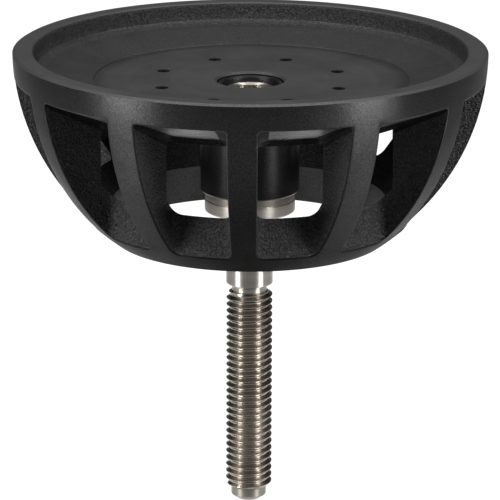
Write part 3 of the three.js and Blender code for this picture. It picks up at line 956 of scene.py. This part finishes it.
    def sill_nodes(self) -> list[WindowNode]:
        """Set the stations round the lower right corner and along the sill, to the window's middle.

        Returns:
            The stations.
        """
        nodes = []
        foot_z = self.sill_end(self.under_ball, self.sill_fillet)[1]
        count = self.fillet_steps - self.half_fillet + self.sill_steps
        for at in range(1, self.fillet_steps + self.sill_steps + 1):
            angle = math.pi / 2 * min(at / self.fillet_steps, 1)
            stand = self.sill_fillet * (1 - math.sin(angle))
            inset = self.sill_fillet * (1 - math.cos(angle))
            share = 1 - max(0, at - self.fillet_steps) / self.sill_steps
            ends = []
            for surface in (self.under_ball, self.cone):
                radius, z = self.sill_end(surface, stand)
                ends.append((radius, (self.half_window(radius) - inset / radius) * share, z))
            if at <= self.half_fillet:
                skin = self.on_rib(blend_to(foot_z, self.mouth_z, at / self.half_fillet))
                core = self.on_cone(self.cone_steps + at)
            else:
                azimuth = self.side * (1 - (at - self.half_fillet) / count)
                skin = (self.on_ball(self.mouth_z), azimuth, self.mouth_z)
                core = (self.mouth, azimuth, self.cone(self.mouth))
            nodes.append(WindowNode(ends[0], ends[1], skin, core))
        return nodes

    def full_loop(self) -> list[WindowNode]:
        """Set all the stations round a window, down its right side and up its left.

        Returns:
            The stations, with azimuths counted from the window's middle.
        """
        right = self.top_nodes() + self.corner_nodes() + self.wall_nodes() + self.sill_nodes()
        return right + [node.mirrored() for node in right[-2:0:-1]]

    def edge_round(self, edge: Vector, run: Vector, first: Vector, second: Vector,
                   width: float) -> list[Vector]:
        """Round the edge between two surfaces.

        Args:
            edge: The point on the sharp edge.
            run: The edge's own direction there.
            first: A point towards which the first surface leads.
            second: A point towards which the second surface leads.
            width: How far the round reaches on each surface.

        Returns:
            The points across the round, from the first surface to the second.
        """
        ends = []
        for target in (first, second):
            way = (target - edge).normalized()
            slant = max(way.cross(run).length, self.edge_slant_least)
            ends.append(edge + way * min(width / slant, (target - edge).length * self.edge_share_most))
        points = []
        for step in range(self.edge_steps + 1):
            t = step / self.edge_steps
            points.append(ends[0] * (1 - t) ** 2 + edge * (2 * t * (1 - t)) + ends[1] * t * t)
        return points

    def tube_finish(self, node: WindowNode, after: WindowNode, step: int) -> Finish:
        """Choose the finish of a window's wall between two stations.

        Args:
            node: The first station.
            after: The next one.
            step: How many steps in from the ball's skin.

        Returns:
            Fettled with a painted reflection on the ceiling, painted shade in the upper corners, and the
            plain skin elsewhere.
        """
        # The ceiling's outer part takes the painted reflection of the floor
        if min(node.roof, after.roof) >= 1 and step < self.tube_steps - 1:
            return FETTLED_TOP_PAINTED_REFLECTION
        return CORNER_SKIN if max(node.roof, after.roof) > self.corner_rise_least else CAST_SKIN

    def window_columns(self, loop: Sequence[WindowNode]) -> list[list[tuple[Vector, Finish]]]:
        """Points from the ball's skin through a window to the cavity, one column for each station.

        Args:
            loop: The stations.

        Returns:
            The columns, each point with the finish of the face that leads on from it.
        """
        columns = []
        for at, node in enumerate(loop):
            before, after = loop[at - 1], loop[(at + 1) % len(loop)]
            outer, inner, skin, core = map(cartesian, (node.outer, node.inner, node.skin, node.core))
            run_out = (cartesian(after.outer) - cartesian(before.outer)).normalized()
            run_in = (cartesian(after.inner) - cartesian(before.inner)).normalized()
            out_round = self.edge_round(outer, run_out, skin, inner, self.outer_edge)
            in_round = self.edge_round(inner, run_in, outer, core, self.inner_edge)
            out_round[0] = out_round[0].normalized() * self.radius
            column: list[tuple[Vector, Finish]] = []
            for step in range(self.skin_steps):
                point = skin.lerp(out_round[0], step / self.skin_steps).normalized() * self.radius
                if node.skin[2] == self.rim_foot_z and step == 0:
                    point = skin
                column.append((point, TURNED_BALL))
            column += [(point, TURNED_BALL) for point in out_round[:-1]]
            for step in range(self.tube_steps):
                share = self.lip_share * step / (self.tube_steps - 1)
                lift = Vector((0, 0, self.lip_rise * node.roof * share))
                point = out_round[-1].lerp(in_round[0], share) + lift
                column.append((point, self.tube_finish(node, after, step)))
            column += [(point, CAST_SKIN) for point in in_round[:-1]]
            start = in_round[-1]
            place = (math.hypot(start.x, start.y), math.atan2(start.x, -start.y), start.z)
            for step in range(self.core_steps + 1):
                share = step / self.core_steps
                between = tuple(blend_to(value, end, share) for value, end in zip(place, node.core))
                column.append((cartesian(between), CAST_SKIN))
            columns.append(column)
        return columns

    def azimuths(self, nodes: Sequence[WindowNode], level: float) -> list[float]:
        """Azimuths, all the way round, of the stations whose skin point lies at a level.

        Args:
            nodes: The stations round one window.
            level: The height of the ring that they share.

        Returns:
            The azimuths, in order.
        """
        local = sorted({round(node.skin[1], DIGITS) for node in nodes if abs(node.skin[2] - level) < NEAR})
        local = [azimuth for azimuth in local if azimuth < self.side - NEAR]
        first = math.radians(self.rib_phase_deg) + self.side
        return [first + 2 * self.side * rib + azimuth for rib in range(self.ribs) for azimuth in local]

    def seat_edge(self, azimuth: float) -> float:
        """Radius of the seat's edge, cut a little off the casting's centre and not quite round."""
        wander = sum(swing * math.sin(waves * azimuth + start) for swing, waves, start in self.seat_waves)
        return self.seat + self.seat_shift * math.sin(azimuth) + wander

    def dish(self, draft: MeshDraft, azimuths: list[float]) -> list[int]:
        """Draw the rim, the dish and the step down to the seat.

        Args:
            draft: The draft that takes them.
            azimuths: Where the rings' points stand.

        Returns:
            The ring round the seat's face.
        """
        foot = (self.on_ball(self.rim_foot_z), self.rim_foot_z)
        outer, inner = (self.rim_outer, self.rim_z), (self.rim_inner, self.rim_z)
        wall_top, floor_end = (self.wall_top, self.wall_top_z), (self.seat, self.floor_end_z)
        fall = (self.floor_start_z - self.floor_end_z) / (self.floor_start - self.seat)
        rim = [foot, *rounded(outer, foot, inner, self.rim_break),
               *rounded(inner, outer, wall_top, self.lip_break)]
        last = draft.turn(rim, azimuths, FACED_RIM)
        corner = (self.wall_foot, self.floor_start_z + fall * (self.wall_foot - self.floor_start))
        round_foot = rounded(corner, wall_top, floor_end, self.dish_fillet, self.dish_fillet_steps)
        # The wall and the upper rings of its round take the painted shade, the lower rings the painted
        # highlight
        last = draft.turn([wall_top, *round_foot[:self.dark_fillet_rings]], azimuths, DISH_WALL, last)
        last = draft.turn(round_foot[self.dark_fillet_rings:], azimuths, DISH_FOOT, last)
        rings = [last]
        for share in self.floor_ring_shares:
            z = blend_to(self.floor_start_z, self.floor_end_z, share)
            rings.append([draft.around(blend_to(self.floor_start, self.seat_edge(azimuth), share), azimuth, z)
                          for azimuth in azimuths])
        for base_z, steps in ((self.floor_end_z, self.seat_top_steps), (self.seat_z, self.seat_foot_steps)):
            for out, up in steps:
                rings.append([draft.around(self.seat_edge(azimuth) + out, azimuth, base_z + up)
                              for azimuth in azimuths])
        draft.join(rings, DISH_SKIN)
        return rings[-1]

    def bores(self, draft: MeshDraft) -> tuple[list[list[int]], list[list[int]]]:
        """Draw the centre bore and the tapped holes.

        Args:
            draft: The draft that takes them.

        Returns:
            Their edges in the seat's face, and those in the plate's underside.
        """
        fine = even_azimuths(self.bore_columns)
        top = draft.ring(self.bore + self.bore_chamfer, self.seat_z, fine)
        land = draft.turn([(self.bore, self.seat_z - self.bore_chamfer)], fine, FACED_RIM, top)
        seat_loops, roof_loops = [top], [draft.turn([(self.bore, self.plate_z)], fine, TAPPED_HOLE, land)]
        levels = ((self.hole + self.hole_sink, self.seat_z), (self.hole, self.seat_z - self.hole_sink),
                  (self.hole, self.plate_z))
        for place in range(self.hole_count):
            azimuth = math.radians(self.hole_phase_deg) + TURN * place / self.hole_count
            middle = cartesian((self.hole_circle, azimuth, 0))
            rings: list[list[int]] = [[] for _ in levels]
            for angle in even_azimuths(self.hole_columns):
                for ring, (radius, z) in zip(rings, levels):
                    point = middle + Vector((math.sin(angle), -math.cos(angle), 0)) * radius
                    ring.append(draft.put(point.x, point.y, z))
            draft.join(rings, TAPPED_HOLE)
            seat_loops.append(rings[0])
            roof_loops.append(rings[-1])
        return seat_loops, roof_loops

    def build(self) -> bpy.types.Object:
        """Draw the whole casting.

        Returns:
            The casting's object.
        """
        draft = MeshDraft((TURNED_BALL, FACED_RIM, CAST_SKIN, BORED_MOUTH, TAPPED_HOLE, FETTLED_TOP_PAINTED_REFLECTION,
                           DISH_SKIN, DISH_WALL, DISH_FOOT, CORNER_SKIN))
        loop = self.full_loop()
        columns = self.window_columns(loop)
        for rib in range(self.ribs):
            angle = math.radians(self.rib_phase_deg) + self.side * (2 * rib + 1)
            turn = Matrix.Rotation(angle, 3, "Z")
            numbers = [[draft.put(*(turn @ point)) for point, _ in column] for column in columns]
            for at, column in enumerate(numbers):
                beside = numbers[(at + 1) % len(numbers)]
                for step in range(len(column) - 1):
                    draft.face((column[step], beside[step], beside[step + 1], column[step + 1]),
                               columns[at][step][1])
        top = self.azimuths(loop, self.rim_foot_z)
        seat_rim = self.dish(draft, top)
        seat_loops, roof_loops = self.bores(draft)
        draft.fill([seat_rim, *seat_loops], FACED_RIM)
        draft.fill([*roof_loops, draft.ring(self.roof_radius, self.plate_z, top)], CAST_SKIN)
        cone_foot_z = self.cone(self.mouth)
        draft.turn([(self.on_ball(self.mouth_z), self.mouth_z), (self.mouth + self.mouth_land, self.mouth_z),
                    (self.mouth, self.mouth_z + self.mouth_bevel),
                    (self.mouth, blend_to(self.mouth_z, cone_foot_z, self.mouth_ring_share)),
                    (self.mouth, cone_foot_z)], self.azimuths(loop, self.mouth_z), BORED_MOUTH)
        return draft.build("ribbed_half_ball", Body.BALL, "half_ball", "cast_aluminium")


@dataclass
class HubBush:
    """The black turned hub pressed up into the casting. Sizes in mm."""

    radius: float = 10.5
    bottom_z: float = -30.84
    bevel: float = 0.35
    worn_from: float = 0.85
    bevel_break: float = 0.06
    shoulder_z: float = -11.83
    shoulder_break: float = 0.25
    spigot: float = 7.08
    spigot_z: float = -7.6
    spigot_break: float = 0.3
    bore: float = 6.06
    columns: int = 128

    def build(self) -> bpy.types.Object:
        """Turn the hub, with a bright bevel at its foot.

        Returns:
            The hub's object.
        """
        draft = MeshDraft((BLACK_HUB, TURNED_STEEL))
        places = even_azimuths(self.columns)
        bevel_top = (self.radius, self.bottom_z + self.bevel)
        worn = (self.radius - self.bevel * self.worn_from, self.bottom_z + self.bevel * (1 - self.worn_from))
        bevel_foot = (self.radius - self.bevel, self.bottom_z)
        bore_foot = (self.bore, self.bottom_z)
        first = draft.ring(*bore_foot, places)
        top = [(self.bore, self.spigot_z - self.spigot_break), (self.bore + self.spigot_break, self.spigot_z),
               (self.spigot - self.spigot_break, self.spigot_z),
               (self.spigot, self.spigot_z - self.spigot_break)]
        body = softened([(self.spigot, self.shoulder_z), (self.radius, self.shoulder_z), bevel_top],
                        self.shoulder_break)
        last = draft.turn([*top, *body, worn], places, BLACK_HUB, first)
        bright = rounded(bevel_foot, bevel_top, bore_foot, self.bevel_break)
        last = draft.turn(bright, places, TURNED_STEEL, last)
        draft.join((last, first), BLACK_HUB)
        return draft.build("turned_hub_bush", Body.BALL, "hub_bush", "black_hub")


@dataclass
class Washer:
    """The ground steel washer under the hub. Sizes in mm."""

    radius: float = 9.55
    bore: float = 6.06
    top_z: float = -30.87
    bottom_z: float = -32.47
    edge: float = 0.15
    columns: int = 128

    def build(self) -> bpy.types.Object:
        """Turn the washer.

        Returns:
            The washer's object.
        """
        draft = MeshDraft((GROUND_STEEL,))
        profile = softened([(self.bore, self.top_z), (self.radius, self.top_z), (self.radius, self.bottom_z),
                            (self.bore, self.bottom_z)], self.edge, closed=True)
        draft.turn(profile, even_azimuths(self.columns), GROUND_STEEL, closed=True)
        return draft.build("ground_thrust_washer", Body.WASHER, "thrust_washer", "ground_steel")


@dataclass
class LockingCollar:
    """The round steel nut that jams under the washer. Sizes in mm."""

    radius: float = 9.6
    bore: float = 6.06
    top_z: float = -32.5
    bottom_z: float = -35.25
    chamfer: float = 0.2
    foot_round: float = 0.4
    foot_steps: int = 4
    relief: float = 0.4
    columns: int = 128

    def build(self) -> bpy.types.Object:
        """Turn the collar, with a bright chamfer above and a soft edge below.

        Returns:
            The collar's object.
        """
        draft = MeshDraft((COLLAR_STEEL,))
        foot = (self.radius, self.bottom_z)
        relief = (self.bore + self.relief, self.bottom_z)
        chamfer = [(self.radius - self.chamfer, self.top_z), (self.radius, self.top_z - self.chamfer)]
        profile = [(self.bore, self.top_z), *chamfer,
                   *rounded(foot, chamfer[1], relief, self.foot_round, self.foot_steps), relief,
                   (self.bore, self.bottom_z + self.relief)]
        draft.turn(profile, even_azimuths(self.columns), COLLAR_STEEL, closed=True)
        return draft.build("turned_locking_collar", Body.STUD, "locking_collar", "turned_steel")


@dataclass
class Stud:
    """The tie-down stud: hex socket above, plain shank, relief, cut thread and dog point. Sizes in mm."""

    top_z: float = -8.64
    upper: float = 6.0
    upper_chamfer: float = 1.0
    upper_end_z: float = -35.55
    shank: float = 4.98
    shank_end_z: float = -51.24
    edge_break: float = 0.12
    relief: float = 3.75
    relief_z: float = -52.04
    thread_top_z: float = -52.84
    thread_end_z: float = -97.1
    end_slope: float = 0.7
    pitch: float = 1.5
    crest: float = 4.93
    crest_edge_share: float = 0.06
    root: float = 4.08
    root_edge_share: float = 0.42
    root_rise: float = 0.01
    flank_shares: Pair = (0.365, 0.105)
    flank_soft: float = 0.08
    crest_left_z: float = -56.16
    left_share: float = 0.75
    spare_turns: int = 3
    dog_end_z: float = -98.9
    dog_taper: float = 1.0
    dog_break: float = 0.2
    tip: float = 2.2
    tip_crown: float = 0.2
    socket_sides: int = 6
    socket_flats: float = 5.0
    socket_depth: float = 5.0
    socket_point: float = 1.2
    columns: int = 64

    def thread_rows(self) -> list[Pair]:
        """List the rows of one turn of the thread, from one root's middle up to the next.

        Returns:
            Each row's place, as a share of the pitch from the crest's middle, and its radius.
        """
        low, high = self.flank_shares
        upper_half = [(self.crest_edge_share, self.crest), (high, self.crest - self.flank_soft),
                      (low, self.root + self.flank_soft), (self.root_edge_share, self.root + self.root_rise)]
        lower_half = [(-share, radius) for share, radius in reversed(upper_half)]
        return [(-0.5, self.root), *lower_half, *upper_half]

    def thread(self, draft: MeshDraft, places: list[float]) -> tuple[list[int], list[int]]:
        """Draw the lower thread as one helix, run out at both ends.

        Args:
            draft: The draft that takes it.
            places: Azimuths of the columns.

        Returns:
            The ring above the thread and the ring below it.
        """
        rows = self.thread_rows()
        count = len(places)
        lowest = math.floor((self.thread_end_z - self.crest_left_z) / self.pitch) - self.spare_turns
        turns = math.ceil((self.thread_top_z - self.thread_end_z) / self.pitch) + 2 * self.spare_turns
        grid: list[list[int]] = []
        for row in range(turns * len(rows)):
            share, radius = rows[row % len(rows)]
            line = []
            for column, azimuth in enumerate(places):
                # Azimuth grows to the right of the front, anticlockwise from above, as the helix climbs
                climb = row // len(rows) + share + column / count - self.left_share
                z = self.crest_left_z + self.pitch * (lowest + climb)
                z = min(max(z, self.thread_end_z), self.thread_top_z)
                room = min(z - self.thread_end_z, self.thread_top_z - z)
                reach = self.relief + room / self.end_slope
                line.append(draft.around(min(radius, reach), azimuth, z))
            grid.append(line)
        for row in range(len(grid) - len(rows) - 1):
            for column in range(count):
                # The last column joins the first one a turn higher up
                beside, rise = (column + 1, 0) if column + 1 < count else (0, len(rows))
                corners = (grid[row][column], grid[row + rise][beside], grid[row + 1 + rise][beside],
                           grid[row + 1][column])
                heights = {round(draft.points[corner][2], DIGITS) for corner in corners}
                if len(heights) > 1:
                    draft.face(corners, STUD_STEEL)
        above, below = (draft.ring(self.relief, z, places) for z in (self.thread_top_z, self.thread_end_z))
        return above, below

    def build(self) -> bpy.types.Object:
        """Draw the whole stud.

        Returns:
            The stud's object.
        """
        draft = MeshDraft((STUD_STEEL, TURNED_STEEL, DOG_STEEL))
        places = even_azimuths(self.columns)
        above, below = self.thread(draft, places)
        step = self.upper - self.shank
        upward = softened([(self.relief, self.thread_top_z), (self.relief, self.relief_z),
                           (self.shank, self.shank_end_z), (self.shank, self.upper_end_z - step),
                           (self.upper, self.upper_end_z), (self.upper, self.top_z - self.upper_chamfer),
                           (self.upper - self.upper_chamfer, self.top_z)], self.edge_break)
        rim = draft.turn(upward[1:], places, TURNED_STEEL, above)
        half_side = math.pi / self.socket_sides
        corner = self.socket_flats / 2 / math.cos(half_side)
        hexagon = [half_side + azimuth for azimuth in even_azimuths(self.socket_sides)]
        mouth = draft.ring(corner, self.top_z, hexagon)
        floor = draft.turn([(corner, self.top_z - self.socket_depth)], hexagon, TURNED_STEEL, mouth)
        draft.cap(floor, self.top_z - self.socket_depth - self.socket_point, TURNED_STEEL)
        draft.fill([rim, mouth], TURNED_STEEL)
        tip_z = self.dog_end_z - self.dog_taper
        downward = softened([(self.relief, self.thread_end_z), (self.relief, self.dog_end_z),
                             (self.tip, tip_z)], self.dog_break)
        # The dog point takes the steel darkened as painted shade
        last = draft.turn(downward[1:], places, DOG_STEEL, below)
        draft.cap(last, tip_z - self.tip_crown, DOG_STEEL)
        return draft.build("threaded_tie_down_stud", Body.STUD, "tie_down_stud", "stud_steel")


@dataclass(frozen=True)
class Softbox:
    """A plain rectangular studio light that faces the ball's centre. Sizes and places in metres."""

    name: str
    width: float
    height: float
    power: float
    place: tuple[float, float, float]

    def build(self) -> None:
        """Hang the light and aim it."""
        light = bpy.data.lights.new(self.name, "AREA")
        light.shape = "RECTANGLE"
        light.size, light.size_y = self.width, self.height
        light.energy = self.power
        holder = bpy.data.objects.new(self.name, light)
        holder.location = self.place
        way = Vector((0, 0, 0)) - Vector(self.place)
        holder.rotation_euler = way.to_track_quat("-Z", "Y").to_euler()
        bpy.context.scene.collection.objects.link(holder)


@dataclass
class Studio:
    """A pale floor, soft boxes and the photograph's camera. Sizes in metres unless the name says."""

    floor_z: float = -0.1003
    floor_reach: float = 4.0
    floor_colour: str = "#787878"
    floor_roughness: float = 0.6
    glow: float = 0.85
    glow_half_width: float = 0.1
    glow_edge: float = 0.04
    glow_front: float = -0.003
    glow_front_edge: float = 0.01
    glow_back: float = 0.58
    glow_back_edge: float = 0.4
    sky: float = 0.05
    eye_mm: tuple[float, float, float] = (-0.037, -795.744, 182.187)
    pitch_deg: float = 15.8945
    yaw_deg: float = 0.0128
    roll_deg: float = 0.2397
    focal_px: float = 3879.4
    frame_px: float = 500.0
    shift_right_px: float = 0.3
    shift_down_px: float = 0.75
    sensor_mm: float = 36.0
    nearest: float = 0.01
    farthest: float = 30.0
    boxes: tuple[Softbox, ...] = (
        Softbox("left_strip", 0.36, 0.95, 17.5, (-0.78, -0.45, 0.4)),
        Softbox("right_strip", 0.36, 0.95, 17.0, (0.76, -0.49, 0.4)),
        Softbox("overhead_softbox", 1.0, 1.0, 7.0, (0.0, 0.3, 1.0)),
        Softbox("back_softbox", 1.6, 1.1, 0.4, (0.0, 1.35, 0.58)),
    )

    def glowing_sheet(self) -> bpy.types.Material:
        """Build the floor's material: cast white acrylic with a frosted face, and a lamp under part of it.

        Its grey base keeps low what light it throws up on the black.

        Returns:
            The material.
        """
        material = bpy.data.materials.new("white_acrylic_sheet")
        material.use_nodes = True
        tree = material.node_tree
        shader = tree.nodes["Principled BSDF"]
        shader.inputs["Base Color"].default_value = linear(self.floor_colour)
        shader.inputs["Roughness"].default_value = self.floor_roughness
        shader.inputs["Emission Color"].default_value = linear("#ffffff")
        place = add_node(tree, "TexCoord")
        parts = add_node(tree, "SeparateXYZ", links={"Vector": place.outputs["Object"]})
        across = add_node(tree, "Math", {"operation": "ABSOLUTE"}, {0: parts.outputs["X"]})
        # The lamp fades out over a soft edge at each side, in front and behind
        edges = ((across.outputs["Value"], self.glow_half_width + self.glow_edge, self.glow_half_width),
                 (parts.outputs["Y"], self.glow_front - self.glow_front_edge, self.glow_front),
                 (parts.outputs["Y"], self.glow_back + self.glow_back_edge, self.glow_back))
        power = None
        # Each edge dims what the edges before it left
        for value, dark, lit in edges:
            fade = add_node(tree, "MapRange", {
                "interpolation_type": "SMOOTHSTEP", SPAN: (dark, lit)}, {"Value": value})
            so_far = {0: power.outputs["Value"]} if power else {}
            power = add_node(tree, "Math", {"operation": "MULTIPLY", 0: self.glow},
                             {1: fade.outputs["Result"], **so_far})
        tree.links.new(power.outputs["Value"], shader.inputs["Emission Strength"])
        return material

    def floor(self) -> None:
        """Lay the white acrylic sheet that the object stands on, lit from below behind the object."""
        mesh = bpy.data.meshes.new("studio_floor")
        corners = [(x * self.floor_reach, y * self.floor_reach, self.floor_z)
                   for x, y in ((-1, -1), (1, -1), (1, 1), (-1, 1))]
        mesh.from_pydata(corners, [], [(0, 1, 2, 3)])
        mesh.materials.append(self.glowing_sheet())
        sheet = bpy.data.objects.new("studio_floor", mesh)
        bpy.context.scene.collection.objects.link(sheet)

    def air(self) -> None:
        """Fill the room with soft even light."""
        world = bpy.data.worlds.new("studio_air")
        world.use_nodes = True
        background = world.node_tree.nodes["Background"]
        background.inputs["Color"].default_value = linear("#ffffff")
        background.inputs["Strength"].default_value = self.sky
        bpy.context.scene.world = world

    def camera(self) -> None:
        """Set the camera where the photograph was taken from."""
        lens = bpy.data.cameras.new("photo_camera")
        lens.sensor_width = self.sensor_mm
        lens.lens = self.focal_px * self.sensor_mm / self.frame_px
        lens.clip_start, lens.clip_end = self.nearest, self.farthest
        lens.shift_x = -self.shift_right_px / self.frame_px
        lens.shift_y = self.shift_down_px / self.frame_px
        holder = bpy.data.objects.new("photo_camera", lens)
        turn = (Matrix.Rotation(-math.radians(self.yaw_deg), 4, "Z")
                @ Matrix.Rotation(math.pi / 2 - math.radians(self.pitch_deg), 4, "X")
                @ Matrix.Rotation(math.radians(self.roll_deg), 4, "Z"))
        holder.matrix_world = Matrix.Translation(Vector(self.eye_mm) * MM) @ turn
        bpy.context.scene.collection.objects.link(holder)
        bpy.context.scene.camera = holder

    def build(self) -> None:
        """Set up the whole studio."""
        self.floor()
        self.air()
        for box in self.boxes:
            box.build()
        self.camera()
        bpy.context.scene.view_settings.view_transform = "Standard"


def main() -> None:
    """Build the studio and each piece in order."""
    logging.basicConfig(level=logging.INFO, format="%(name)s: %(message)s")
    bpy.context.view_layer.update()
    Studio().build()
    for piece in (BallCasting(), HubBush(), Washer(), LockingCollar(), Stud()):
        piece.build()
    bpy.context.view_layer.update()


if __name__ == "__main__":
    main()
